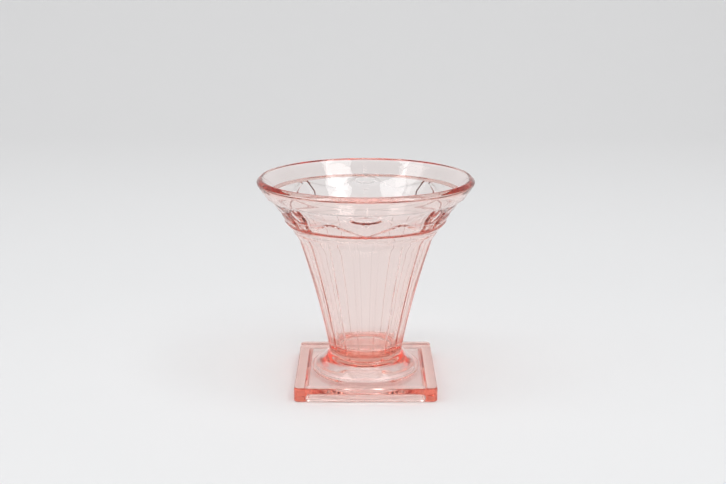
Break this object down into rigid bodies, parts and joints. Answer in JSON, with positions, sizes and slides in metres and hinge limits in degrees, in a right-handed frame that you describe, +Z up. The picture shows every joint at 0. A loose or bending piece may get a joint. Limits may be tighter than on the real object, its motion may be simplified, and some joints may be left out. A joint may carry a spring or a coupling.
{
  "type": "glass vase",
  "caption": "Footed trumpet vase of pressed pink glass with a fluted bowl, lozenge band, domed foot and square plinth, for short flower stems.",
  "frame": {"origin": "centre of the plinth's underside, on the surface that the vase stands on", "axes": "+Z up along the vase's axis; +X and +Y square to the plinth's sides"},
  "size_m": [0.114, 0.114, 0.1114],
  "materials": {
    "pink_glass": "fire-polished pressed glass, tinted pink in the mass"
  },
  "bodies": {
    "root": {"square_plinth": "pink_glass", "domed_foot": "pink_glass", "solid_stem": "pink_glass", "fluted_bowl": "pink_glass", "patterned_band": "pink_glass", "rim_lip": "pink_glass"}
  },
  "joints": []
}
